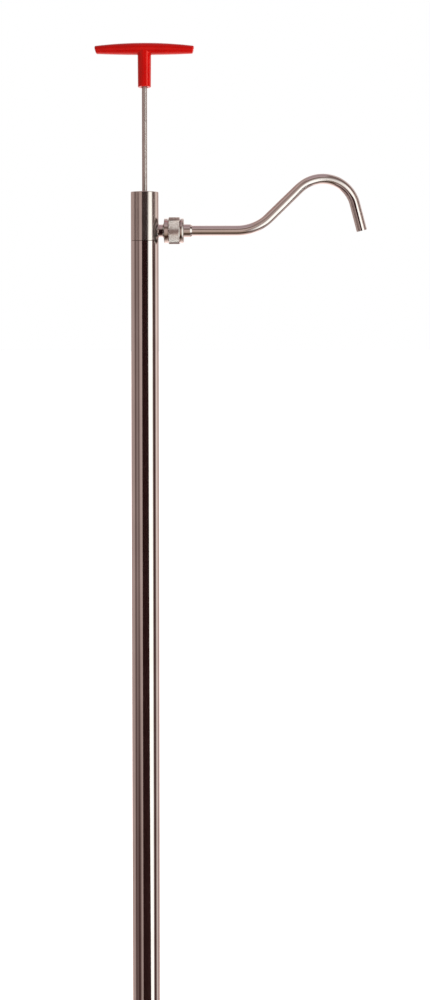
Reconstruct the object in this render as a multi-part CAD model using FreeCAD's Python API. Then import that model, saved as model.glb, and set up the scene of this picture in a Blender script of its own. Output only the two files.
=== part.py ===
import FreeCAD, Part
import math
import os

# Hand drum pump: a lift pump with a ball foot valve, a ported piston on a long rod, and a gooseneck spout.
# Millimetres. Z runs up along the tube from its foot, and X points from the tube's axis to the spout.
# The plunger stands part way up its stroke. Threads are plain cylinders at their major diameter.

# Fits
slip_clearance = 0.05
running_clearance = 0.04
body_gap = 0.3
face_gap = 0.05
ring_gap = 0.02
edge_break = 0.3

# Immersion tube, and the slots round its foot
tube_diameter = 32.0
tube_wall = 1.5
tube_length = 950.0
foot_slot_count = 4
foot_slot_width = 6.0
foot_slot_height = 6.0

# Static sealing rings of the head and the foot valve
static_ring_section = 1.5
ring_groove_side_gap = 0.3

# Foot valve
ball_diameter = 16.0
ball_flow_gap = 2.0
ball_lift = 5.0
ball_seat_angle = 45.0
ball_seat_land = 0.66
ball_seat_height = 13.0
ball_stop_pin_diameter = 3.0
ball_stop_pin_inset = 0.6
ball_cage_margin = 13.5
foot_ring_height = 24.0

# Head
head_length = 56.4
head_spigot_length = 22.0
head_spigot_wall = 2.45
head_ring_depth = 11.0
head_rim_radius = 0.8
chamber_height = 30.0
web_thickness = 4.0
web_rod_gap = 1.0

# Guide bush, packing and gland nut round the rod
bush_wall = 4.0
bush_length = 8.0
packing_ring_count = 2
packing_ring_height = 2.5
packing_cone_height = 0.8
gland_step = 3.0
gland_recess = 0.4
spanner_hole_diameter = 2.6
spanner_hole_depth = 4.0
spanner_hole_count = 2

# Outlet nipple, set into the head's side and welded round
outlet_height_above_seam = 11.4
nipple_diameter = 14.8
nipple_bore = 10.0
nipple_stub_length = 5.0
weld_size = 1.4
nipple_flare = 2.0
thread_relief_length = 4.3
union_thread_step = 1.4
union_thread_length = 7.3
union_thread_clearance = 0.1

# Union nut
nut_standoff = 1.8
nut_mouth_chamfer = 0.8
nut_back_wall = 4.3
nut_rim_wall = 3.55
nut_rim_chamfer = 0.6
nut_rear_chamfer_length = 1.4
nut_front_rim_width = 4.05
nut_front_groove_width = 0.85
nut_rear_groove_width = 1.0
nut_groove_depth = 1.4
nut_grip_width = 13.2
nut_grip_step = 1.25
nut_grip_chamfer = 0.9
knurl_count = 60
knurl_row_count = 12
knurl_depth = 0.5

# Gasket, ferrule and thrust ring of the union
outlet_seal_thickness = 2.0
outlet_seal_inset = 0.8
ferrule_collar_thickness = 2.95
ferrule_wall = 1.65
ferrule_land = 5.95
ferrule_socket_depth = 12.3
ferrule_taper_length = 2.1
ferrule_lip = 0.3
thrust_ring_thickness = 1.0

# Gooseneck spout, bent in the plane of X and Z
spout_diameter = 12.0
spout_wall = 1.0
spout_corner_reach = 129.0
spout_rise_angle = 44.2
spout_rise_length = 136.7
spout_drop_angle = 14.5
spout_drop_length = 98.9
spout_first_bend_radius = 54.3
spout_second_bend_radius = 38.7

# Plunger: rod, stroke and stop collar
rod_diameter = 6.0
rod_spigot_step = 0.5
rod_tail = 1.5
handle_lift = 121.5
handle_stop_gap = 3.4
stroke_above_rest = 195.0
piston_foot_gap = 6.0
collar_wall = 3.0
collar_height = 12.0
collar_pin_diameter = 2.0

# Piston
piston_gap = 0.5
piston_height = 16.0
piston_edge_chamfer = 0.8
port_count = 8
port_diameter = 3.6
port_wall = 1.3
seal_height = 6.0
seal_thickness = 1.6
seal_side_gap = 0.1
spring_ring_section = 2.2
valve_thickness = 2.0
valve_lift = 3.0
valve_rest_gap = 0.1
valve_lip = 2.2
spacer_wall = 2.0
retainer_thickness = 2.0
retainer_overlap = 3.5
piston_washer_overlap = 3.5
piston_washer_thickness = 1.2
piston_nut_flats = 8.0
piston_nut_height = 4.7

# T-handle
bar_length = 116.2
bar_height = 13.65
bar_depth = 16.2
bar_top_drop = 3.5
bar_bottom_rise = 1.3
bar_depth_drop = 4.9
bar_end_angle = 14.0
bar_end_round = 1.8
bar_section_count = 9
bar_overrun = 4.0
stem_length = 37.6
stem_top_diameter = 15.7
stem_bottom_diameter = 15.0
stem_end_round = 0.8
stem_root_round = 0.8
stem_rod_gap = 0.2
stem_recess_gap = 1.2
stem_recess_depth = 1.2
insert_depth = 8.0
insert_length = 18.0
insert_wall = 2.0

# Sizes and heights that follow from the values above
UP = FreeCAD.Vector(0, 0, 1)
OUT = FreeCAD.Vector(1, 0, 0)
ACROSS = FreeCAD.Vector(0, 1, 0)

tube_radius = tube_diameter / 2
bore_radius = tube_radius - tube_wall
spigot_radius = bore_radius - slip_clearance
ring_groove_radius = bore_radius - static_ring_section - 2 * ring_gap
ring_groove_width = static_ring_section + 2 * ring_groove_side_gap

ball_radius = ball_diameter / 2
cage_radius = ball_radius + ball_flow_gap
seat_angle = math.radians(ball_seat_angle)
seat_radius = ball_radius * math.cos(seat_angle) - ball_seat_land
seat_cone_height = (cage_radius - seat_radius) / math.tan(seat_angle)
seat_apex = ball_seat_height - seat_radius / math.tan(seat_angle)
ball_height = seat_apex + (ball_radius + body_gap) / math.sin(seat_angle)
pin_height = ball_height + ball_radius + ball_lift + body_gap + ball_stop_pin_diameter / 2
foot_valve_height = pin_height + ball_cage_margin

seam_height = tube_length
head_top = seam_height + head_length
chamber_radius = spigot_radius - head_spigot_wall
chamber_top = seam_height + chamber_height
rod_radius = rod_diameter / 2
bush_bottom = chamber_top + web_thickness
bush_radius = rod_radius + running_clearance + bush_wall
packing_bottom = bush_bottom + bush_length
packing_height = packing_ring_count * packing_ring_height
gland_bottom = packing_bottom + packing_height
gland_top = head_top - gland_recess
stuffing_radius = bush_radius + slip_clearance
gland_radius = stuffing_radius + gland_step

outlet_height = seam_height + outlet_height_above_seam
nipple_radius = nipple_diameter / 2
flare_start = tube_radius + nipple_stub_length
flare_end = flare_start + nipple_flare
flare_radius = nipple_radius + nipple_flare
thread_start = flare_end + thread_relief_length
thread_end = thread_start + union_thread_length
thread_radius = flare_radius + union_thread_step
seal_end = thread_end + outlet_seal_thickness
seal_radius = thread_radius - outlet_seal_inset
collar_start = seal_end + face_gap
collar_end = collar_start + ferrule_collar_thickness
thrust_start = collar_end + face_gap
thrust_end = thrust_start + thrust_ring_thickness

spout_radius = spout_diameter / 2
spout_bore_radius = spout_radius - spout_wall
socket_radius = spout_radius + slip_clearance
ferrule_radius = socket_radius + ferrule_wall
spout_start = collar_start + ferrule_land
ferrule_end = spout_start + ferrule_socket_depth

nut_start = flare_start + nut_standoff
nut_bore_radius = thread_radius + union_thread_clearance
nut_wall_start = thrust_end + face_gap
nut_end = nut_wall_start + nut_back_wall
nut_hole_radius = ferrule_radius + body_gap
nut_rim_radius = nut_bore_radius + nut_rim_wall
nut_groove_radius = nut_rim_radius - nut_groove_depth
nut_grip_radius = nut_rim_radius + nut_grip_step
nut_grip_start = nut_start + nut_front_rim_width + nut_front_groove_width
nut_grip_end = nut_grip_start + nut_grip_width
nut_rear_rim_start = nut_grip_end + nut_rear_groove_width

stem_bottom = head_top + handle_lift
bar_bottom = stem_bottom + stem_length
bar_top = bar_bottom + bar_height
bar_middle = (bar_bottom + bar_top) / 2
insert_bottom = stem_bottom + insert_depth
rod_top = insert_bottom + insert_length
insert_flats = rod_diameter + 2 * slip_clearance + 2 * insert_wall

stroke_below_rest = handle_lift - handle_stop_gap
rod_bottom = foot_valve_height + piston_foot_gap + stroke_below_rest
rod_spigot_radius = rod_radius - rod_spigot_step
stack_bore_radius = rod_spigot_radius + slip_clearance
piston_nut_bottom = rod_bottom + rod_tail
piston_washer_bottom = piston_nut_bottom + piston_nut_height
piston_bottom = piston_washer_bottom + piston_washer_thickness
valve_seat_height = piston_bottom + piston_height
valve_bottom = valve_seat_height + valve_rest_gap
spacer_radius = rod_spigot_radius + slip_clearance + spacer_wall
retainer_bottom = valve_bottom + valve_thickness + valve_lift + body_gap
rod_shoulder = retainer_bottom + retainer_thickness

piston_radius = bore_radius - piston_gap
seal_outer_radius = bore_radius - running_clearance
seal_inner_radius = seal_outer_radius - seal_thickness
seal_groove_radius = seal_inner_radius - spring_ring_section - 2 * ring_gap
seal_bottom = piston_bottom + (piston_height - seal_height) / 2
port_circle_radius = seal_groove_radius - port_wall - port_diameter / 2
valve_inner_radius = spacer_radius + body_gap
valve_outer_radius = port_circle_radius + port_diameter / 2 + valve_lip

collar_radius = rod_radius + slip_clearance + collar_wall
collar_top = chamber_top - stroke_above_rest - body_gap
collar_bottom = collar_top - collar_height


def on_axis(height):
    return FreeCAD.Vector(0, 0, height)


def on_outlet(reach):
    return FreeCAD.Vector(reach, 0, outlet_height)


def rod_shape(radius, bottom, top):
    """Round bar on the tube's axis."""
    return Part.makeCylinder(radius, top - bottom, on_axis(bottom), UP)


def ring_shape(inner_radius, outer_radius, bottom, top):
    """Plain ring on the tube's axis."""
    return rod_shape(outer_radius, bottom, top).cut(rod_shape(inner_radius, bottom, top))


def outlet_rod(radius, start, end):
    """Round bar on the outlet's axis."""
    return Part.makeCylinder(radius, end - start, on_outlet(start), OUT)


def outlet_ring(inner_radius, outer_radius, start, end):
    """Plain ring on the outlet's axis."""
    return outlet_rod(outer_radius, start, end).cut(outlet_rod(inner_radius, start, end))


def turned_on_axis(profile):
    """Solid turned about the tube's axis from (radius, height) points."""
    points = [FreeCAD.Vector(radius, 0, height) for radius, height in profile]
    face = Part.Face(Part.makePolygon(points + points[:1]))
    return face.revolve(FreeCAD.Vector(0, 0, 0), UP, 360)


def turned_on_outlet(profile):
    """Solid turned about the outlet's axis from (reach, radius) points."""
    points = [FreeCAD.Vector(reach, 0, outlet_height + radius) for reach, radius in profile]
    face = Part.Face(Part.makePolygon(points + points[:1]))
    return face.revolve(on_outlet(0), OUT, 360)


def hexagon_bar(across_flats, bottom, top):
    """Upright hexagonal bar on the tube's axis."""
    corner_radius = across_flats / math.sqrt(3)
    corners = []
    for index in range(6):
        corner = on_axis(bottom) + OUT * corner_radius
        turn = FreeCAD.Rotation(UP, 60 * index)
        corners.append(turn.multVec(corner))
    face = Part.Face(Part.makePolygon(corners + corners[:1]))
    return face.extrude(UP * (top - bottom))


def cross_bar(radius, length, height):
    """Round bar across the tube's axis, along Y."""
    return Part.makeCylinder(radius, length, FreeCAD.Vector(0, -length / 2, height), ACROSS)


def round_circle_edges(shape, radius, height, round_radius):
    """Rounds the circular edges of one radius at one height on the tube's axis."""
    edges = []
    for edge in shape.Edges:
        box = edge.BoundBox
        is_level = abs(box.ZMax - box.ZMin) < 1e-4 and abs(box.ZMax - height) < 1e-4
        if is_level and abs(box.XMax - radius) < 1e-3:
            edges.append(edge)
    return shape.makeFillet(round_radius, edges)


def foot_slots():
    """Radial slots round the foot, as boxes to cut away."""
    slots = []
    for index in range(foot_slot_count):
        corner = FreeCAD.Vector(0, -foot_slot_width / 2, 0)
        slot = Part.makeBox(tube_diameter, foot_slot_width, foot_slot_height, corner)
        slot.rotate(FreeCAD.Vector(0, 0, 0), UP, 360 / foot_slot_count * (index + 0.5))
        slots.append(slot)
    return Part.makeCompound(slots)


def static_ring(height):
    """Sealing ring between a spigot's groove and the tube's bore."""
    centre_radius = bore_radius - ring_gap - static_ring_section / 2
    return Part.makeTorus(centre_radius, static_ring_section / 2, on_axis(height), UP)


def head_o_ring():
    return static_ring(seam_height - head_ring_depth)


def foot_o_ring():
    return static_ring(foot_ring_height)


def static_ring_groove(height):
    half_width = ring_groove_width / 2
    return ring_shape(ring_groove_radius, bore_radius, height - half_width, height + half_width)


def immersion_tube():
    tube = turned_on_axis([
        (bore_radius, 0),
        (tube_radius, 0),
        (tube_radius, seam_height - edge_break),
        (tube_radius - edge_break, seam_height),
        (bore_radius, seam_height),
    ])
    return tube.cut(foot_slots())


def foot_valve_body():
    body = turned_on_axis([
        (seat_radius, 0),
        (spigot_radius, 0),
        (spigot_radius, foot_valve_height - edge_break),
        (spigot_radius - edge_break, foot_valve_height),
        (cage_radius, foot_valve_height),
        (cage_radius, ball_seat_height + seat_cone_height),
        (seat_radius, ball_seat_height),
    ])
    pin_hole = cross_bar(ball_stop_pin_diameter / 2 + ring_gap, tube_diameter, pin_height)
    return body.cut([foot_slots(), static_ring_groove(foot_ring_height), pin_hole])


def foot_ball():
    return Part.makeSphere(ball_radius, on_axis(ball_height))


def ball_stop_pin():
    pin_length = 2 * (spigot_radius - ball_stop_pin_inset)
    return cross_bar(ball_stop_pin_diameter / 2, pin_length, pin_height)


def head_body():
    spigot_bottom = seam_height - head_spigot_length
    body = turned_on_axis([
        (chamber_radius, spigot_bottom),
        (spigot_radius - edge_break, spigot_bottom),
        (spigot_radius, spigot_bottom + edge_break),
        (spigot_radius, seam_height),
        (tube_radius - edge_break, seam_height),
        (tube_radius, seam_height + edge_break),
        (tube_radius, head_top),
        (gland_radius + slip_clearance, head_top),
        (gland_radius + slip_clearance, gland_bottom),
        (stuffing_radius, gland_bottom),
        (stuffing_radius, bush_bottom),
        (rod_radius + web_rod_gap, bush_bottom),
        (rod_radius + web_rod_gap, chamber_top),
        (chamber_radius, chamber_top),
    ])
    body = round_circle_edges(body, tube_radius, head_top, head_rim_radius)
    outlet_hole = outlet_rod(nipple_radius + slip_clearance, 0, tube_diameter)
    return body.cut([outlet_hole, static_ring_groove(seam_height - head_ring_depth)])


def guide_bush():
    return ring_shape(rod_radius + running_clearance, bush_radius, bush_bottom, packing_bottom)


def rod_packing():
    """Chevron rings stacked over the bush, each a cone above and below."""
    inner_radius = rod_radius + running_clearance
    middle_radius = (inner_radius + bush_radius) / 2
    rings = []
    for index in range(packing_ring_count):
        bottom = packing_bottom + index * packing_ring_height
        top = bottom + packing_ring_height - packing_cone_height - face_gap
        rings.append(turned_on_axis([
            (inner_radius, bottom),
            (middle_radius, bottom + packing_cone_height),
            (bush_radius, bottom),
            (bush_radius, top),
            (middle_radius, top + packing_cone_height),
            (inner_radius, top),
        ]))
    return Part.makeCompound(rings)


def gland_nut():
    nut = turned_on_axis([
        (rod_radius + body_gap, gland_bottom),
        (gland_radius, gland_bottom),
        (gland_radius, gland_top - edge_break),
        (gland_radius - edge_break, gland_top),
        (rod_radius + body_gap + edge_break, gland_top),
        (rod_radius + body_gap, gland_top - edge_break),
    ])
    hole_circle_radius = (rod_radius + gland_radius) / 2
    for index in range(spanner_hole_count):
        hole = rod_shape(spanner_hole_diameter / 2, gland_top - spanner_hole_depth, head_top)
        hole.translate(ACROSS * hole_circle_radius)
        hole.rotate(FreeCAD.Vector(0, 0, 0), UP, 360 / spanner_hole_count * index)
        nut = nut.cut(hole)
    return nut


def welded_stub():
    """Stub of the nipple with the weld that runs round it where it leaves the head's round side."""
    stub = outlet_rod(nipple_radius, 0, flare_start)
    head_side = rod_shape(tube_radius, seam_height, head_top)
    joined = head_side.fuse(stub).removeSplitter()
    joint_edges = []
    for edge in joined.Edges:
        box = edge.BoundBox
        is_round_stub = box.ZMax < outlet_height + nipple_radius + weld_size
        if is_round_stub and tube_radius / 2 < box.XMin and box.XMax < tube_radius + weld_size:
            joint_edges.append(edge)
    return joined.makeFillet(weld_size, joint_edges).cut(head_side).fuse(stub)


def outlet_nipple():
    threaded_end = turned_on_outlet([
        (flare_start, 0),
        (flare_start, nipple_radius),
        (flare_end, flare_radius),
        (thread_start, flare_radius),
        (thread_start, thread_radius - edge_break),
        (thread_start + edge_break, thread_radius),
        (thread_end - edge_break, thread_radius),
        (thread_end, thread_radius - edge_break),
        (thread_end, 0),
    ])
    nipple = welded_stub().fuse(threaded_end).removeSplitter()
    bore = outlet_rod(nipple_bore / 2, 0, thread_end)
    chamber = rod_shape(chamber_radius, seam_height, chamber_top)
    return nipple.cut([bore, chamber])


def outlet_seal():
    return outlet_ring(nipple_bore / 2, seal_radius, thread_end, seal_end)


def thrust_ring():
    return outlet_ring(nut_hole_radius, nut_bore_radius - body_gap, thrust_start, thrust_end)


def knurl_point(row, step):
    """Point of the knurl's grid, by its row along the outlet's axis and its step round it."""
    if row in (0, knurl_row_count):
        radius = nut_grip_radius - nut_grip_chamfer
    elif (row + step) % 2 == 1:
        radius = nut_grip_radius
    else:
        radius = nut_grip_radius - knurl_depth
    angle = math.pi / knurl_count * step
    offset = FreeCAD.Vector(0, radius * math.cos(angle), radius * math.sin(angle))
    return on_outlet(nut_grip_start + nut_grip_width * row / knurl_row_count) + offset


def knurl_facets(row, step):
    """Facets between one crest and the four roots next to it in the grid."""
    crest = knurl_point(row, step)
    left = knurl_point(row, step - 1)
    right = knurl_point(row, step + 1)
    facets = []
    if row > 0:
        before = knurl_point(row - 1, step)
        facets += [[crest, before, left], [crest, right, before]]
    if row < knurl_row_count:
        after = knurl_point(row + 1, step)
        facets += [[crest, left, after], [crest, after, right]]
    return facets


def knurled_grip():
    """Bar with a diamond knurl, on the outlet's axis and as long as the nut's grip."""
    outlines = []
    for row in range(knurl_row_count + 1):
        for step in range(2 * knurl_count):
            if (row + step) % 2 == 1:
                outlines += knurl_facets(row, step)
    for row in (0, knurl_row_count):
        outlines.append([knurl_point(row, step) for step in range(2 * knurl_count)])
    faces = [Part.Face(Part.makePolygon(corners + corners[:1])) for corners in outlines]
    return Part.makeSolid(Part.makeShell(faces))


def union_nut():
    rims = turned_on_outlet([
        (nut_start, 0),
        (nut_start, nut_rim_radius - nut_rim_chamfer),
        (nut_start + nut_rim_chamfer, nut_rim_radius),
        (nut_grip_start - nut_front_groove_width, nut_rim_radius),
        (nut_grip_start - nut_front_groove_width, nut_groove_radius),
        (nut_rear_rim_start, nut_groove_radius),
        (nut_rear_rim_start, nut_rim_radius),
        (nut_end - nut_rear_chamfer_length, nut_rim_radius),
        (nut_end, nut_rim_radius - nut_rim_chamfer),
        (nut_end, 0),
    ])
    hollow = turned_on_outlet([
        (nut_start, 0),
        (nut_start, nut_bore_radius + nut_mouth_chamfer),
        (nut_start + nut_mouth_chamfer, nut_bore_radius),
        (nut_wall_start, nut_bore_radius),
        (nut_wall_start, nut_hole_radius),
        (nut_end, nut_hole_radius),
        (nut_end, 0),
    ])
    return knurled_grip().fuse(rims).cut(hollow)


def spout_ferrule():
    return turned_on_outlet([
        (collar_start, spout_bore_radius),
        (collar_start, seal_radius),
        (collar_end, seal_radius),
        (collar_end, ferrule_radius),
        (ferrule_end - ferrule_taper_length, ferrule_radius),
        (ferrule_end, socket_radius + ferrule_lip),
        (ferrule_end, socket_radius),
        (spout_start, socket_radius),
        (spout_start, spout_bore_radius),
    ])


def bend(entry_corner, direction_in, direction_out, radius):
    """Ends and middle of the arc that rounds one corner of a path."""
    half_turn = direction_in.getAngle(direction_out) / 2
    setback = radius * math.tan(half_turn)
    start = entry_corner - direction_in * setback
    end = entry_corner + direction_out * setback
    to_centre = direction_out - direction_in
    to_centre.normalize()
    centre = entry_corner + to_centre * (radius / math.cos(half_turn))
    middle = centre - to_centre * radius
    return start, middle, end


def spout_path():
    """Centreline of the spout: three straight runs joined by two arcs."""
    rise = math.radians(spout_rise_angle)
    drop = math.radians(spout_drop_angle)
    rise_direction = FreeCAD.Vector(math.cos(rise), 0, math.sin(rise))
    drop_direction = FreeCAD.Vector(math.sin(drop), 0, -math.cos(drop))
    first_corner = on_outlet(spout_corner_reach)
    second_corner = first_corner + rise_direction * spout_rise_length
    mouth = second_corner + drop_direction * spout_drop_length
    first_start, first_middle, first_end = bend(first_corner, OUT, rise_direction, spout_first_bend_radius)
    second_start, second_middle, second_end = bend(
        second_corner, rise_direction, drop_direction, spout_second_bend_radius)
    return Part.Wire([
        Part.LineSegment(on_outlet(spout_start), first_start).toShape(),
        Part.Arc(first_start, first_middle, first_end).toShape(),
        Part.LineSegment(first_end, second_start).toShape(),
        Part.Arc(second_start, second_middle, second_end).toShape(),
        Part.LineSegment(second_end, mouth).toShape(),
    ])


def spout_bar(radius):
    circle = Part.Circle(on_outlet(spout_start), OUT, radius)
    return spout_path().makePipeShell([Part.Wire(circle.toShape())], True, True)


def spout_tube():
    return spout_bar(spout_radius).cut(spout_bar(spout_bore_radius))


def collar_pin_height():
    return (collar_bottom + collar_top) / 2


def piston_rod():
    rod = turned_on_axis([
        (0, rod_bottom),
        (rod_spigot_radius - edge_break, rod_bottom),
        (rod_spigot_radius, rod_bottom + edge_break),
        (rod_spigot_radius, rod_shoulder),
        (rod_radius, rod_shoulder),
        (rod_radius, rod_top - edge_break),
        (rod_radius - edge_break, rod_top),
        (0, rod_top),
    ])
    return rod.cut(cross_bar(collar_pin_diameter / 2 + ring_gap, tube_diameter, collar_pin_height()))


def stop_collar():
    collar = turned_on_axis([
        (rod_radius + slip_clearance, collar_bottom),
        (collar_radius - edge_break, collar_bottom),
        (collar_radius, collar_bottom + edge_break),
        (collar_radius, collar_top - edge_break),
        (collar_radius - edge_break, collar_top),
        (rod_radius + slip_clearance, collar_top),
    ])
    return collar.cut(cross_bar(collar_pin_diameter / 2 + ring_gap, tube_diameter, collar_pin_height()))


def collar_pin():
    pin_length = 2 * math.sqrt(collar_radius ** 2 - (collar_pin_diameter / 2) ** 2)
    return cross_bar(collar_pin_diameter / 2, pin_length, collar_pin_height())


def piston_body():
    seal_groove_bottom = seal_bottom - seal_side_gap
    seal_groove_top = seal_bottom + seal_height + seal_side_gap
    body = turned_on_axis([
        (stack_bore_radius, piston_bottom),
        (piston_radius - piston_edge_chamfer, piston_bottom),
        (piston_radius, piston_bottom + piston_edge_chamfer),
        (piston_radius, seal_groove_bottom),
        (seal_groove_radius, seal_groove_bottom),
        (seal_groove_radius, seal_groove_top),
        (piston_radius, seal_groove_top),
        (piston_radius, valve_seat_height - piston_edge_chamfer),
        (piston_radius - piston_edge_chamfer, valve_seat_height),
        (stack_bore_radius, valve_seat_height),
    ])
    ports = []
    for index in range(port_count):
        port = rod_shape(port_diameter / 2, piston_bottom, valve_seat_height)
        port.translate(OUT * port_circle_radius)
        port.rotate(FreeCAD.Vector(0, 0, 0), UP, 360 / port_count * index)
        ports.append(port)
    return body.cut(ports)


def piston_seal():
    return ring_shape(seal_inner_radius, seal_outer_radius, seal_bottom, seal_bottom + seal_height)


def seal_spring_ring():
    centre_radius = seal_inner_radius - ring_gap - spring_ring_section / 2
    return Part.makeTorus(centre_radius, spring_ring_section / 2, on_axis(seal_bottom + seal_height / 2), UP)


def piston_valve():
    return ring_shape(valve_inner_radius, valve_outer_radius, valve_bottom, valve_bottom + valve_thickness)


def valve_spacer():
    return ring_shape(stack_bore_radius, spacer_radius, valve_seat_height, retainer_bottom)


def valve_retainer():
    outer_radius = valve_inner_radius + retainer_overlap
    return ring_shape(stack_bore_radius, outer_radius, retainer_bottom, rod_shoulder)


def piston_washer():
    outer_radius = stack_bore_radius + piston_washer_overlap
    return ring_shape(stack_bore_radius, outer_radius, piston_washer_bottom, piston_bottom)


def piston_nut():
    blank = hexagon_bar(piston_nut_flats, piston_nut_bottom, piston_washer_bottom)
    return blank.cut(rod_shape(stack_bore_radius, piston_nut_bottom, piston_washer_bottom))


def bar_section(reach):
    """Oval section of the T-handle's bar, square to it, at one reach from the stem."""
    share = (2 * reach / bar_length) ** 2
    top = bar_top - bar_top_drop * share
    bottom = bar_bottom + bar_bottom_rise * share
    depth = bar_depth - bar_depth_drop * share
    circle = Part.Circle(FreeCAD.Vector(0, 0, 0), OUT, 1.0).toShape()
    # A quarter turn puts the loft's seam on the bar's side, where the end rounds cross it cleanly.
    circle.rotate(FreeCAD.Vector(0, 0, 0), OUT, 90)
    stretch = FreeCAD.Matrix()
    stretch.scale(1.0, depth / 2, (top - bottom) / 2)
    stretch.move(FreeCAD.Vector(reach, 0, (top + bottom) / 2))
    return Part.Wire(circle.transformGeometry(stretch).Edges)


def slanted_end():
    """Block that cuts the bar's right end at a slant."""
    corner = FreeCAD.Vector(bar_length / 2, 0, bar_top - bar_top_drop)
    block_corner = corner - FreeCAD.Vector(0, bar_length / 2, bar_length)
    block = Part.makeBox(bar_length, bar_length, 2 * bar_length, block_corner)
    block.rotate(corner, ACROSS, bar_end_angle)
    return block


def handle_bar():
    """Arched bar with both ends cut at a slant and rounded."""
    half_loft = bar_length / 2 + bar_overrun
    sections = []
    for index in range(bar_section_count):
        share = index / (bar_section_count - 1)
        sections.append(bar_section(half_loft * (2 * share - 1)))
    right_end = slanted_end()
    left_end = right_end.mirror(FreeCAD.Vector(0, 0, 0), OUT)
    bar = Part.makeLoft(sections, True, False).cut([right_end, left_end])
    end_edges = [edge for edge in bar.Edges if abs(edge.CenterOfMass.x) > bar_length / 2 - bar_overrun]
    return bar.makeFillet(bar_end_round, end_edges)


def handle_stem():
    stem = Part.makeCone(stem_bottom_diameter / 2, stem_top_diameter / 2, bar_middle - stem_bottom,
                         on_axis(stem_bottom), UP)
    return round_circle_edges(stem, stem_bottom_diameter / 2, stem_bottom, stem_end_round)


def t_handle():
    handle = handle_bar().fuse(handle_stem()).removeSplitter()
    root_edges = []
    for edge in handle.Edges:
        centre = edge.CenterOfMass
        if bar_bottom < centre.z < bar_middle and abs(centre.x) < rod_radius:
            root_edges.append(edge)
    handle = handle.makeFillet(stem_root_round, root_edges)
    recess = rod_shape(rod_radius + stem_recess_gap, stem_bottom, stem_bottom + stem_recess_depth)
    rod_hole = rod_shape(rod_radius + stem_rod_gap, stem_bottom, insert_bottom)
    pocket = hexagon_bar(insert_flats, insert_bottom, rod_top)
    return handle.cut([recess, rod_hole, pocket])


def handle_insert():
    blank = hexagon_bar(insert_flats, insert_bottom, rod_top)
    return blank.cut(rod_shape(rod_radius + slip_clearance, insert_bottom, rod_top))


PIECES = [
    immersion_tube, head_body, head_o_ring, outlet_nipple, guide_bush, rod_packing, gland_nut,
    foot_valve_body, foot_o_ring, ball_stop_pin, foot_ball, outlet_seal,
    piston_rod, t_handle, handle_insert, stop_collar, collar_pin,
    valve_retainer, valve_spacer, piston_valve, piston_body, piston_seal, seal_spring_ring,
    piston_washer, piston_nut,
    spout_tube, spout_ferrule, thrust_ring, union_nut,
]

os.makedirs("parts", exist_ok=True)
for piece in PIECES:
    shape = piece()
    shape.exportStep(f"parts/{piece.__name__}.step")
    print(piece.__name__, "valid" if shape.isValid() else "not valid", len(shape.Solids), "solids")
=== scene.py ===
import math

import bpy
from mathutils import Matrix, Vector

# Hand drum pump in a plain white studio. Metres, in the CAD frame: Z runs up the tube from its
# foot, X points from the tube's axis to the spout, and the camera looks along Y.

# Camera: a level lens a little below the seam, shifted so that the tube runs out of the picture
# at the bottom. Rows and columns are counted in pixels from the picture's top left corner.
IMAGE_WIDTH = 430
IMAGE_HEIGHT = 1000
METRES_PER_PIXEL = 0.00116
CAMERA_DISTANCE = 0.90
SEAM_HEIGHT = 0.950
SEAM_ROW = 240.4
AXIS_COLUMN = 144.8
LEVEL_ROW = 245.0
CAMERA_COLUMN = 215.0
CAMERA_ROLL_DEG = 0.14
SENSOR_MM = 36.0
CLIP_START = 0.01
CLIP_END = 100

# Places that the finishes follow: the outlet's height, and along X those on the nut and the nipple
OUTLET_HEIGHT = 0.9614
NUT_FACE = 0.0231
GRIP_START = 0.0277
GRIP_END = 0.0409
REAR_CHAMFER_START = 0.0436
THREAD_START = 0.0273
THREAD_PITCH = 0.001814
THREAD_DEPTH = 0.0011

# Half the width over which a finish gives way to the next
SOFT_EDGE = 0.0002
FINE_EDGE = 0.0001

# Roughness that the nut's grip and rear chamfer have over its rims
GRIP_DULLNESS = 0.07
REAR_CHAMFER_DULLNESS = 0.20

# Painted shade: its dark brown, its share on the nut's face and in the seam, and how far it reaches
# from the seam. The nut's rims are darkened a little with the same brown.
# The nut's two grooves, also painted shade, are given by start, end and share.
SHADE_BROWN = (0.13, 0.09, 0.07)
FACE_SHADE_SHARE = 0.85
RIM_DARKENING = 0.26
GROOVES = [(0.02685, 0.0277, 0.40), (0.0409, 0.0419, 0.95)]
SEAM_SHADE_SHARE = 0.45
SEAM_SHADE_REACH = 0.0004

# Fine structure of the steel. Noises are given by their blotches per metre along X, Y and Z.
STEEL_SMUDGES = (28, 28, 28)
STEEL_GRAIN = (900, 900, 900)
GRAIN_ROUGHNESS = 0.015
SCRATCHES_PER_BRUSH_MARK = 3
# The range of a noise that a spread uses
NOISE_MIDDLE = (0.3, 0.7)

# Red plastic
PLASTIC_CLOUDS = (45, 45, 45)
PLASTIC_PEEL = (700, 700, 700)
PLASTIC_SCUFFS = (160, 160, 160)
PLASTIC_ROUGHNESS = (0.13, 0.17)
PLASTIC_IOR = 1.5
PLASTIC_SHINE = 0.9
PLASTIC_SHINE_TINT = (1.0, 0.25, 0.2)
SCUFF_ROUGHNESS = 0.04
PEEL_DEPTH = 0.00001
PARTING_WIDTH = 0.0003
PARTING_HEIGHT = 0.00006

# PTFE and rubber
MATTE_CLOUDS = (120, 120, 120)
MATTE_MARKS = (300, 300, 4000)
MATTE_DEPTH = 0.00001

# Floor, and the dull surface of every card
FLOOR_HALF_WIDTH = 6.0
FLOOR_COLOUR = (0.9, 0.9, 0.9)
FLOOR_GLOW = 0.75
CARD_ROUGHNESS = 0.9

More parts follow.
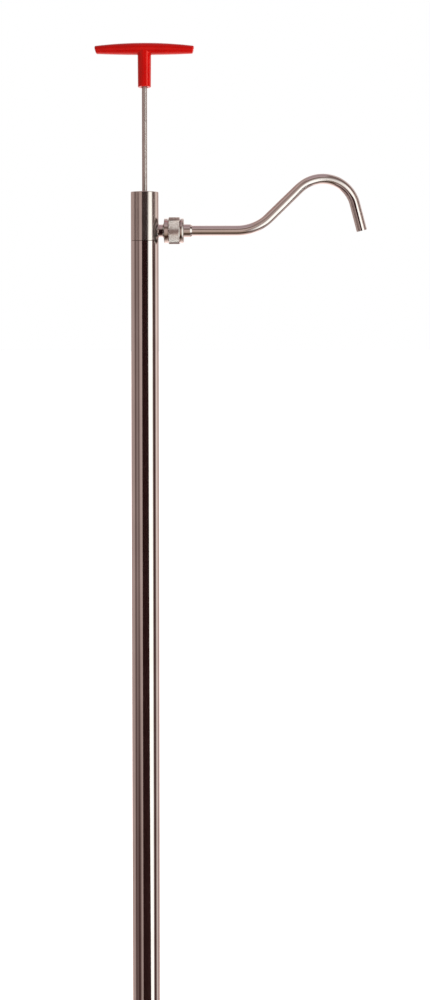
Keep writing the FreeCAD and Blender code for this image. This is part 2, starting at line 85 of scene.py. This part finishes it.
# Cards close in front of the steel: name, distance from the plane of the tube's axis, colour, and
# corners in X and Z
DARK_CARD = (0.040, 0.0085, 0.0085)
PALE_CARD = (0.60, 0.47, 0.42)
REFLECTED_CARDS = [
    ("tube_flag", 0.030, DARK_CARD,
     [(-0.0079, -0.3), (0.0278, -0.3), (0.0176, 0.32), (0.0130, 1.02), (-0.0067, 1.02)]),
    ("stub_flag", 0.0125, DARK_CARD,
     [(0.0164, 0.949), (0.0214, 0.949), (0.0214, 0.9643), (0.0164, 0.9643)]),
    ("drop_flag", 0.045, DARK_CARD,
     [(0.247, 0.92), (0.2580, 0.92), (0.2508, 1.0), (0.211, 1.0)]),
    ("drop_edge_flag", 0.045, PALE_CARD,
     [(0.307, 0.92), (0.360, 0.92), (0.350, 1.00), (0.330, 1.05), (0.262, 1.05), (0.286, 1.00)]),
]

# Softbox: centre and half size of the oval in X and Z, and the shares of that half size at which
# its glow is gone and at which it is full
SOFTBOX_DISTANCE = 0.350
SOFTBOX_CENTRE = (0.54, 0.85)
SOFTBOX_REACH = (0.34, 0.43)
SOFTBOX_FADE = (1.15, 0.70)

# Soft light
LIGHT_SIZE = (0.8, 1.2)
LIGHT_WATTS = 18.0
LIGHT_COLOUR = (1.0, 0.97, 0.93)
LIGHT_PLACE = (1.15, -0.6, 1.35)
LIGHT_AIM = (0.0, 0.0, 1.1)

# The surroundings' warm grey: shares of blue and red to green, and red that even the dark has
WARM_BLUE = 0.93
WARM_RED = 1.24
WARM_LIFT = 0.016

# What the steel mirrors: degrees, level and, where it isn't the usual warm grey, shares of blue and
# red. All lists of bands go once round: 0 is the camera's side and 180 the far side. The compass
# counts towards the spout, and the pitch upwards. Levels are shares of the world's strength.
WORLD_STRENGTH = 2.0
COMPASS_BANDS = [
    (-180, 0.40), (-160, 0.24), (-140, 0.18), (-120, 0.22), (-106, 0.20), (-96, 0.22), (-88, 0.06),
    (-80, 0.06), (-72, 0.11), (-62, 0.16), (-54, 0.07), (-46, 0.08), (-38, 0.24), (-22, 0.25),
    (-14, 0.22), (-4, 0.26), (-1, 0.33), (3, 0.33), (6, 0.10), (72, 0.10), (80, 0.03), (92, 0.015),
    (102, 0.16), (110, 0.50, 0.95, 1.08), (118, 0.46), (130, 0.28), (145, 0.24), (160, 0.26),
    (180, 0.40),
]
PITCH_BANDS = [
    (-180, 0.80, 1.0), (-158, 0.72, 0.97), (-129, 0.56), (-110, 0.38), (-95, 0.26),
    (-82, 0.15, 0.8), (-72, 0.03, 0.7), (-62, 0.006, 0.7), (-54, 0.008, 0.7), (-45, 0.10, 0.7),
    (-36, 0.19, 0.8), (-20, 0.27, 0.87), (12, 0.22, 0.87), (20, 0.10, 0.87), (28, 0.06, 0.9),
    (35, 0.12, 0.95), (42, 0.25, 1.0), (52, 0.26, 1.02), (62, 0.19, 1.04), (85, 0.20, 1.04),
    (110, 0.24, 1.04), (128, 0.34, 1.0, 1.12), (145, 0.62, 0.98, 1.05), (160, 0.72, 0.98, 1.05),
    (180, 0.80, 0.98, 1.05),
]

# What covers the compass bands, in degrees and shares, with the level of each and the window's
# shares of blue and red. The shade is low down on the left and at the right edge, the upper shade
# and the grey wall are higher up on the left, and the window is on the right.
SHADE_BANDS = [
    (-180, 0.3), (-160, 0), (-104, 0), (-92, 0.3), (-81, 0.72), (-71, 0.4), (-61, 0.78),
    (-52, 0.95), (-42, 0.75), (-34, 0.4), (-25, 0.1), (-18, 0), (102, 0), (112, 0.3), (125, 0.45),
    (145, 0.65), (180, 0.3),
]
UPPER_SHADE_BANDS = [(-180, 0), (-42, 0), (-32, 0.35), (-12, 0.42), (-4, 0), (180, 0)]
UPPER_WALL_BANDS = [
    (-180, 0), (-102, 0), (-84, 0.25), (-64, 0.7), (-48, 1.0), (-40, 0.3), (-34, 0), (180, 0),
]
WINDOW_BANDS = [(-180, 0), (31, 0), (38, 1), (65, 1), (73, 0), (180, 0)]
SHADE_LEVEL = 0.01
UPPER_WALL_LEVEL = 0.31
WINDOW_LEVEL = 0.88
WINDOW_TINT = (0.96, 0.98)

# The direction's Z at which each of these is gone, and then that at which it is full
SHADE_DEPTH = (-0.36, -0.68)
UPPER_HEIGHT = (0.08, 0.24)
WINDOW_TOP = (-0.03, -0.09)
WINDOW_FOOT = (-0.78, -0.70)
UPPER_WINDOW_TOP = (0.46, 0.38)
UPPER_WINDOW_FOOT = (0.10, 0.16)

# Where the pitch bands take over from the compass bands: by how upright a direction is, which is
# Z squared over the sum of X squared and Z squared, and sooner towards the back, which is along Y
UPRIGHT_SHARE = (0.88, 0.96)
BACK_SHARE = (0.66, 0.78)
BACK_DEPTH = (0.35, 0.55)
# Keeps that sum away from zero
LEAST_DIVISOR = 1e-4


def new_tree(name):
    """New node material, emptied."""
    material = bpy.data.materials.new(name)
    material.use_nodes = True
    material.node_tree.nodes.clear()
    return material, material.node_tree


def socket_of(node, name):
    """Input by its name, with _ for a space, or by its number, as in i0."""
    if name[0] == "i" and name[1:].isdigit():
        return node.inputs[int(name[1:])]
    return node.inputs[name.replace("_", " ")]


def add(tree, kind, settings=None, **inputs):
    """One node with its settings and its input values or links."""
    node = tree.nodes.new(kind)
    for name, value in (settings or {}).items():
        setattr(node, name, value)
    for name, value in inputs.items():
        socket = socket_of(node, name)
        if isinstance(value, bpy.types.NodeSocket):
            tree.links.new(value, socket)
        else:
            socket.default_value = value
    return node


def show(tree, shader, kind="ShaderNodeOutputMaterial"):
    """Makes a shader the tree's surface."""
    add(tree, kind, Surface=shader.outputs[0])


def math_node(tree, operation, a, b=0.0, c=0.0):
    """Result of one operation on numbers or outputs."""
    return add(tree, "ShaderNodeMath", {"operation": operation}, i0=a, i1=b, i2=c).outputs[0]


def mix_colours(tree, factor, first, second):
    """Mix of two colours, which are the node's inputs 6 and 7, with its output 2 as the result."""
    node = add(tree, "ShaderNodeMix", {"data_type": "RGBA"}, i0=factor, i6=first, i7=second)
    return node.outputs[2]


def ramp(tree, value, stops):
    """Colour ramp from (position, colour) pairs."""
    node = add(tree, "ShaderNodeValToRGB", i0=value)
    elements = node.color_ramp.elements
    while len(elements) < len(stops):
        elements.new(0.5)
    for element, (position, colour) in zip(elements, stops):
        element.position = position
        element.color = (*colour, 1.0)
    return node.outputs["Color"]


def noise(tree, place, per_metre, detail=3.0, roughness=0.5):
    """Noise with so many blotches per metre along X, Y and Z."""
    mapping = add(tree, "ShaderNodeMapping", Vector=place, Scale=per_metre)
    return add(tree, "ShaderNodeTexNoise", Vector=mapping.outputs[0], Scale=1.0, Detail=detail,
               Roughness=roughness).outputs["Fac"]


def spread(tree, value, low, high):
    """Maps the middle of a noise onto a range."""
    start, end = NOISE_MIDDLE
    return add(tree, "ShaderNodeMapRange", Value=value, From_Min=start, From_Max=end, To_Min=low,
               To_Max=high).outputs[0]


def fade(tree, value, none, full):
    """0 at one value and 1 at the other, smooth between them."""
    smooth = {"interpolation_type": "SMOOTHSTEP"}
    if none < full:
        return add(tree, "ShaderNodeMapRange", smooth, Value=value, From_Min=none,
                   From_Max=full).outputs[0]
    return add(tree, "ShaderNodeMapRange", smooth, Value=value, From_Min=full, From_Max=none,
               To_Min=1.0, To_Max=0.0).outputs[0]


def past(tree, value, limit, soft=SOFT_EDGE):
    """1 over a limit, fading over a soft edge."""
    return fade(tree, value, limit - soft, limit + soft)


def short_of(tree, value, limit, soft=SOFT_EDGE):
    """1 under a limit, fading over a soft edge."""
    return fade(tree, value, limit + soft, limit - soft)


def within(tree, value, low, high, soft=SOFT_EDGE):
    """1 between two limits, fading over soft edges."""
    return math_node(tree, "MULTIPLY", past(tree, value, low, soft),
                     short_of(tree, value, high, soft))


def place_of(tree):
    """Place on the object in metres."""
    return add(tree, "ShaderNodeTexCoord").outputs["Object"]


def parts_of(tree, vector):
    """A vector's X, Y and Z."""
    parts = add(tree, "ShaderNodeSeparateXYZ", Vector=vector).outputs
    return parts["X"], parts["Y"], parts["Z"]


def bump(tree, height, distance, under=None):
    """Normal from a height, on top of the one from another bump."""
    node = add(tree, "ShaderNodeBump", Strength=1.0, Distance=distance, Height=height)
    if under is not None:
        tree.links.new(under, node.inputs["Normal"])
    return node.outputs[0]


def cloudy_tint(tree, clouds, dark, light):
    """Colour that drifts between two with a noise."""
    return mix_colours(tree, spread(tree, clouds, 0.0, 1.0), (*dark, 1.0), (*light, 1.0))


def steel(name, dark, light, gloss, brush, depth, metal=1.0, rougher=None, relief=None,
          painted_shade=None):
    """Stainless steel with brush marks, smudges in the gloss and fine scratches.

    gloss is the range of roughness, brush the marks per metre along X, Y and Z, and depth how deep
    they are. rougher adds roughness in places, relief gives a height and its depth for threads and
    the like, and the last is the share of a dark brown: painted shade, and a plain darkening on the
    nut's rims.
    """
    material, tree = new_tree(name)
    place = place_of(tree)
    x, y, z = parts_of(tree, place)
    marks = noise(tree, place, brush, detail=4.0, roughness=0.6)
    smudges = noise(tree, place, STEEL_SMUDGES)
    grain = noise(tree, place, STEEL_GRAIN, detail=2.0)
    finer = tuple(SCRATCHES_PER_BRUSH_MARK * count for count in brush)
    scratches = noise(tree, place, finer, detail=5.0, roughness=0.75)
    tint = cloudy_tint(tree, smudges, dark, light)
    # Painted shade: dark brown mixed into the colour, in the seam and on the nut's face and grooves
    if painted_shade:
        tint = mix_colours(tree, painted_shade(tree, x, y, z), tint, (*SHADE_BROWN, 1.0))
    low, high = gloss
    rough = math_node(tree, "ADD", spread(tree, smudges, low, (low + high) / 2),
                      spread(tree, marks, 0.0, (high - low) / 2))
    rough = math_node(tree, "ADD", rough, spread(tree, grain, 0.0, GRAIN_ROUGHNESS))
    if rougher:
        rough = math_node(tree, "ADD", rough, rougher(tree, x, y, z))
    normal = bump(tree, scratches, depth / 2, bump(tree, marks, depth))
    if relief:
        height, drop = relief(tree, x, y, z)
        normal = bump(tree, height, drop, normal)
    show(tree, add(tree, "ShaderNodeBsdfPrincipled", Base_Color=tint, Metallic=metal,
                   Roughness=rough, Normal=normal))
    return material


def nut_gloss(tree, x, y, z):
    """The nut's knurled grip and the chamfer of its rear rim are duller than the rims."""
    grip = math_node(tree, "MULTIPLY", within(tree, x, GRIP_START, GRIP_END), GRIP_DULLNESS)
    chamfer = past(tree, x, REAR_CHAMFER_START, FINE_EDGE)
    return math_node(tree, "MULTIPLY_ADD", chamfer, REAR_CHAMFER_DULLNESS, grip)


def nut_shade_paint(tree, x, y, z):
    """Painted shade on the nut's face and in its grooves, a plain darkening on its rims, and none
    on its grip.
    """
    grip = within(tree, x, GRIP_START, GRIP_END)
    share = math_node(tree, "MULTIPLY_ADD", grip, -RIM_DARKENING, RIM_DARKENING)
    face = short_of(tree, x, NUT_FACE, FINE_EDGE)
    share = math_node(tree, "MAXIMUM", share, math_node(tree, "MULTIPLY", face, FACE_SHADE_SHARE))
    for low, high, groove_darkness in GROOVES:
        groove = math_node(tree, "MULTIPLY", within(tree, x, low, high, FINE_EDGE), groove_darkness)
        share = math_node(tree, "MAXIMUM", share, groove)
    return share


def seam_shade_paint(tree, x, y, z):
    """Painted shade in the seam between the head and the tube."""
    low, high = SEAM_HEIGHT - SEAM_SHADE_REACH, SEAM_HEIGHT + SEAM_SHADE_REACH
    return math_node(tree, "MULTIPLY", within(tree, z, low, high, FINE_EDGE), SEAM_SHADE_SHARE)


def nipple_thread(tree, x, y, z):
    """Screw thread on the nipple's end, under the nut, and how deep it is."""
    up = math_node(tree, "SUBTRACT", z, OUTLET_HEIGHT)
    turn = math_node(tree, "DIVIDE", math_node(tree, "ARCTAN2", y, up), 2 * math.pi)
    along = math_node(tree, "SUBTRACT", math_node(tree, "DIVIDE", x, THREAD_PITCH), turn)
    wave = math_node(tree, "PINGPONG", along, 0.5)
    return math_node(tree, "MULTIPLY", wave, past(tree, x, THREAD_START)), THREAD_DEPTH


def plastic(name, dark, light):
    """Glossy moulded plastic: fine orange peel, cloudy gloss, light scuffs and a parting line."""
    material, tree = new_tree(name)
    place = place_of(tree)
    _, y, _ = parts_of(tree, place)
    clouds = noise(tree, place, PLASTIC_CLOUDS)
    tint = cloudy_tint(tree, clouds, dark, light)
    peel = noise(tree, place, PLASTIC_PEEL, detail=2.0)
    scuffs = noise(tree, place, PLASTIC_SCUFFS, detail=5.0, roughness=0.65)
    rough = math_node(tree, "ADD", spread(tree, clouds, *PLASTIC_ROUGHNESS),
                      spread(tree, scuffs, 0.0, SCUFF_ROUGHNESS))
    line = within(tree, y, -PARTING_WIDTH / 2, PARTING_WIDTH / 2, FINE_EDGE)
    normal = bump(tree, line, PARTING_HEIGHT, bump(tree, peel, PEEL_DEPTH))
    show(tree, add(tree, "ShaderNodeBsdfPrincipled", Base_Color=tint, Roughness=rough,
                   Normal=normal, IOR=PLASTIC_IOR, Specular_IOR_Level=PLASTIC_SHINE,
                   Specular_Tint=(*PLASTIC_SHINE_TINT, 1.0)))
    return material


def matte(name, dark, light, gloss):
    """Turned PTFE or moulded rubber: fine marks, no shine."""
    material, tree = new_tree(name)
    place = place_of(tree)
    clouds = noise(tree, place, MATTE_CLOUDS, detail=4.0)
    tint = cloudy_tint(tree, clouds, dark, light)
    normal = bump(tree, noise(tree, place, MATTE_MARKS), MATTE_DEPTH)
    show(tree, add(tree, "ShaderNodeBsdfPrincipled", Base_Color=tint,
                   Roughness=spread(tree, clouds, *gloss), Normal=normal))
    return material


def warm(level, blue=WARM_BLUE, red=WARM_RED):
    """The studio's surroundings are warm, and browner where they are dark."""
    return (level * red + WARM_LIFT, level, level * blue)


def colour_stops(bands):
    """Ramp stops from bands that give a level, from -180 to 180 degrees."""
    return [(degrees / 360 + 0.5, warm(*level)) for degrees, *level in bands]


def share_stops(bands):
    """Ramp stops from bands that give a share, from -180 to 180 degrees."""
    return [(degrees / 360 + 0.5, (share, share, share)) for degrees, share in bands]


def turn_share(tree, side, front):
    """Direction in a plane as a share of a full turn, a half where it points at the front."""
    angle = math_node(tree, "ARCTAN2", side, front)
    return add(tree, "ShaderNodeMapRange", Value=angle, From_Min=-math.pi,
               From_Max=math.pi).outputs[0]


def banded_share(tree, turn, bands, height):
    """Share that follows bands round the compass and a fade in height."""
    return math_node(tree, "MULTIPLY", ramp(tree, turn, share_stops(bands)), height)


def compass_colours(tree, turn, z):
    """The bands round the tube, with the grey wall, the shade and the window over them."""
    upper = fade(tree, z, *UPPER_HEIGHT)
    wall = banded_share(tree, turn, UPPER_WALL_BANDS, upper)
    shade = math_node(tree, "MAXIMUM",
                      banded_share(tree, turn, SHADE_BANDS, fade(tree, z, *SHADE_DEPTH)),
                      banded_share(tree, turn, UPPER_SHADE_BANDS, upper))
    lower_window = math_node(tree, "MULTIPLY", fade(tree, z, *WINDOW_TOP),
                             fade(tree, z, *WINDOW_FOOT))
    upper_window = math_node(tree, "MULTIPLY", fade(tree, z, *UPPER_WINDOW_TOP),
                             fade(tree, z, *UPPER_WINDOW_FOOT))
    window = banded_share(tree, turn, WINDOW_BANDS,
                          math_node(tree, "ADD", lower_window, upper_window))
    colours = ramp(tree, turn, colour_stops(COMPASS_BANDS))
    colours = mix_colours(tree, wall, colours, (*warm(UPPER_WALL_LEVEL), 1.0))
    colours = mix_colours(tree, shade, colours, (*warm(SHADE_LEVEL), 1.0))
    return mix_colours(tree, window, colours, (*warm(WINDOW_LEVEL, *WINDOW_TINT), 1.0))


def pitch_weight(tree, x, y, z):
    """1 where the pitch bands show instead of the compass bands."""
    sideways = math_node(tree, "MULTIPLY", x, x)
    upright = math_node(tree, "MULTIPLY", z, z)
    both = math_node(tree, "MAXIMUM", math_node(tree, "ADD", sideways, upright), LEAST_DIVISOR)
    share = math_node(tree, "DIVIDE", upright, both)
    behind = math_node(tree, "MULTIPLY", fade(tree, share, *BACK_SHARE), fade(tree, y, *BACK_DEPTH))
    return math_node(tree, "MAXIMUM", fade(tree, share, *UPRIGHT_SHARE), behind)


def studio_world():
    """Surroundings that the steel mirrors: bands round the tube, and bands over and under it.

    The camera sees plain white instead.
    """
    world = bpy.data.worlds.new("studio")
    bpy.context.scene.world = world
    world.use_nodes = True
    tree = world.node_tree
    tree.nodes.clear()
    x, y, z = parts_of(tree, add(tree, "ShaderNodeTexCoord").outputs["Generated"])
    front = math_node(tree, "MULTIPLY", y, -1.0)
    around = compass_colours(tree, turn_share(tree, x, front), z)
    over = ramp(tree, turn_share(tree, z, front), colour_stops(PITCH_BANDS))
    mirrored = mix_colours(tree, pitch_weight(tree, x, y, z), around, over)
    light = add(tree, "ShaderNodeBackground", Color=mirrored, Strength=WORLD_STRENGTH)
    plain = add(tree, "ShaderNodeBackground", Color=(1, 1, 1, 1), Strength=1.0)
    seen = add(tree, "ShaderNodeLightPath").outputs["Is Camera Ray"]
    shown = add(tree, "ShaderNodeMixShader", i0=seen, i1=light.outputs[0], i2=plain.outputs[0])
    show(tree, shown, "ShaderNodeOutputWorld")


def card(name, corners):
    """Flat card of the studio, and the empty node tree of its material."""
    mesh = bpy.data.meshes.new(name)
    mesh.from_pydata(corners, [], [tuple(range(len(corners)))])
    mesh.update()
    item = bpy.data.objects.new(name, mesh)
    bpy.context.scene.collection.objects.link(item)
    material, tree = new_tree(name)
    item.data.materials.append(material)
    return item, tree


def paint(tree, colour, glow=0.0):
    """Plain dull colour, with a white glow of its own."""
    show(tree, add(tree, "ShaderNodeBsdfPrincipled", Base_Color=(*colour, 1.0),
                   Roughness=CARD_ROUGHNESS, Emission_Color=(1, 1, 1, 1), Emission_Strength=glow))


def only_reflected(item):
    """Leaves a card to the reflections: nothing else sees it, and it casts no shadow."""
    item.visible_camera = False
    item.visible_diffuse = False
    item.visible_shadow = False


def studio_floor():
    """Pale floor with a slight glow, which no reflection shows."""
    half = FLOOR_HALF_WIDTH
    corners = [(-half, -half, 0), (half, -half, 0), (half, half, 0), (-half, half, 0)]
    floor, tree = card("floor", corners)
    paint(tree, FLOOR_COLOUR, FLOOR_GLOW)
    floor.visible_glossy = False


def reflected_cards():
    """Dark cards close in front of the tube, the stub and the spout's drop, and a pale one."""
    for name, distance, colour, corners in REFLECTED_CARDS:
        item, tree = card(name, [(x, -distance, z) for x, z in corners])
        paint(tree, colour)
        only_reflected(item)


def softbox():
    """Large oval softbox in front on the right, which fades out towards its rim.

    It is so near that each part of the spout sees it elsewhere.
    """
    middle_x, middle_z = SOFTBOX_CENTRE
    reach_x, reach_z = SOFTBOX_REACH
    half_width, half_height = reach_x * SOFTBOX_FADE[0], reach_z * SOFTBOX_FADE[0]
    left, right = middle_x - half_width, middle_x + half_width
    low, high = middle_z - half_height, middle_z + half_height
    y = -SOFTBOX_DISTANCE
    corners = [(left, y, low), (right, y, low), (right, y, high), (left, y, high)]
    item, tree = card("softbox", corners)
    x, _, z = parts_of(tree, place_of(tree))
    across = math_node(tree, "DIVIDE", math_node(tree, "SUBTRACT", x, middle_x), reach_x)
    upward = math_node(tree, "DIVIDE", math_node(tree, "SUBTRACT", z, middle_z), reach_z)
    squared = math_node(tree, "ADD", math_node(tree, "MULTIPLY", across, across),
                        math_node(tree, "MULTIPLY", upward, upward))
    share = fade(tree, math_node(tree, "SQRT", squared), *SOFTBOX_FADE)
    clear = add(tree, "ShaderNodeBsdfTransparent")
    glow = add(tree, "ShaderNodeEmission", Color=(*warm(WINDOW_LEVEL, *WINDOW_TINT), 1.0),
               Strength=WORLD_STRENGTH)
    show(tree, add(tree, "ShaderNodeMixShader", i0=share, i1=clear.outputs[0], i2=glow.outputs[0]))
    only_reflected(item)


def soft_light():
    """Large soft light on the right that shapes the plastic. The steel doesn't mirror it."""
    data = bpy.data.lights.new("soft_light", "AREA")
    data.shape = "RECTANGLE"
    data.size, data.size_y = LIGHT_SIZE
    data.energy = LIGHT_WATTS
    data.color = LIGHT_COLOUR
    light = bpy.data.objects.new("soft_light", data)
    bpy.context.scene.collection.objects.link(light)
    light.location = LIGHT_PLACE
    aim = Vector(LIGHT_AIM) - Vector(LIGHT_PLACE)
    light.rotation_euler = aim.to_track_quat("-Z", "Y").to_euler()
    light.visible_glossy = False


def camera():
    """The photograph's camera. The sensor's size runs along the picture's height."""
    data = bpy.data.cameras.new("camera")
    item = bpy.data.objects.new("camera", data)
    bpy.context.scene.collection.objects.link(item)
    data.sensor_width = SENSOR_MM
    data.lens = SENSOR_MM * CAMERA_DISTANCE / (METRES_PER_PIXEL * IMAGE_HEIGHT)
    x = (CAMERA_COLUMN - AXIS_COLUMN) * METRES_PER_PIXEL
    z = SEAM_HEIGHT + (SEAM_ROW - LEVEL_ROW) * METRES_PER_PIXEL
    item.location = (x, -CAMERA_DISTANCE, z)
    item.rotation_euler = (math.pi / 2, math.radians(CAMERA_ROLL_DEG), 0)
    data.shift_x = (IMAGE_WIDTH / 2 - CAMERA_COLUMN) / IMAGE_HEIGHT
    data.shift_y = -(IMAGE_HEIGHT / 2 - LEVEL_ROW) / IMAGE_HEIGHT
    data.clip_start = CLIP_START
    data.clip_end = CLIP_END
    bpy.context.scene.camera = item


def dress(nodes):
    """Gives every CAD node its finish: by its name, or else by its material slot."""
    polished = {"dark": (0.60, 0.57, 0.55), "light": (0.66, 0.63, 0.61)}
    turned = {"dark": (0.56, 0.53, 0.50), "light": (0.63, 0.60, 0.57)}
    bright = {"dark": (0.72, 0.69, 0.66), "light": (0.78, 0.75, 0.72)}
    dull = {"dark": (0.50, 0.47, 0.45), "light": (0.55, 0.52, 0.50)}
    brassy = {"dark": (0.72, 0.50, 0.22), "light": (0.80, 0.58, 0.28)}
    # Brush marks per metre along X, Y and Z, by the way they run
    lengthwise = (2600, 2600, 18)
    round_tube = (40, 40, 3600)
    round_rod = (60, 60, 5000)
    round_outlet = (3600, 40, 40)
    all_ways = (500, 500, 500)
    # Some finishes get painted shade: dark brown in the seam, and on the nut's face and in its
    # grooves.
    finishes = {
        "polished_steel": steel("tube_steel", **polished, gloss=(0.05, 0.10), brush=lengthwise,
                                depth=0.000002, painted_shade=seam_shade_paint),
        "satin_steel": steel("turned_steel", **turned, gloss=(0.11, 0.19), brush=round_tube,
                             depth=0.000004, metal=0.97, painted_shade=seam_shade_paint),
        "red_plastic": plastic("red_plastic_shine", dark=(0.38, 0.0008, 0.0008),
                               light=(0.43, 0.0016, 0.0012)),
        "white_ptfe": matte("ptfe_turned", dark=(0.74, 0.74, 0.72), light=(0.82, 0.82, 0.80),
                            gloss=(0.45, 0.6)),
        "black_rubber": matte("rubber_moulded", dark=(0.012, 0.012, 0.012),
                              light=(0.022, 0.022, 0.021), gloss=(0.55, 0.75)),
        "brass": steel("brass_turned", **brassy, gloss=(0.18, 0.30), brush=round_tube,
                       depth=0.000004),
        "piston_rod": steel("ground_steel", **dull, gloss=(0.34, 0.42), brush=round_rod,
                            depth=0.000002, metal=0.97),
        "spout_tube": steel("bent_steel", **polished, gloss=(0.06, 0.12), brush=all_ways,
                            depth=0.000001),
        "spout_ferrule": steel("ferrule_steel", **polished, gloss=(0.08, 0.14), brush=round_outlet,
                               depth=0.000003),
        "outlet_nipple": steel("nipple_steel", **polished, gloss=(0.10, 0.18), brush=round_outlet,
                               depth=0.000003, relief=nipple_thread),
        "union_nut": steel("nut_steel", **bright, gloss=(0.10, 0.16), brush=round_outlet,
                           depth=0.000003, rougher=nut_gloss, painted_shade=nut_shade_paint),
        "thrust_ring": steel("ring_steel", **turned, gloss=(0.12, 0.20), brush=round_outlet,
                             depth=0.000004),
    }
    for name, item in nodes.items():
        for slot in item.material_slots:
            slot.material = finishes.get(name) or finishes[slot.material.name.split(".")[0]]


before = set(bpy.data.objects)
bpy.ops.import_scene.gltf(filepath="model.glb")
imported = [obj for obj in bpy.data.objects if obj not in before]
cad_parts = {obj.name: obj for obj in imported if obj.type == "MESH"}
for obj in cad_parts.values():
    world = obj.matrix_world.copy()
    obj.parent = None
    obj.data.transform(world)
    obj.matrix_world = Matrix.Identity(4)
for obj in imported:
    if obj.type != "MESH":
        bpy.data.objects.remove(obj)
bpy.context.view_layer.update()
dress(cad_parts)
studio_world()
studio_floor()
soft_light()
reflected_cards()
softbox()
camera()
bpy.context.scene.view_settings.view_transform = "Standard"
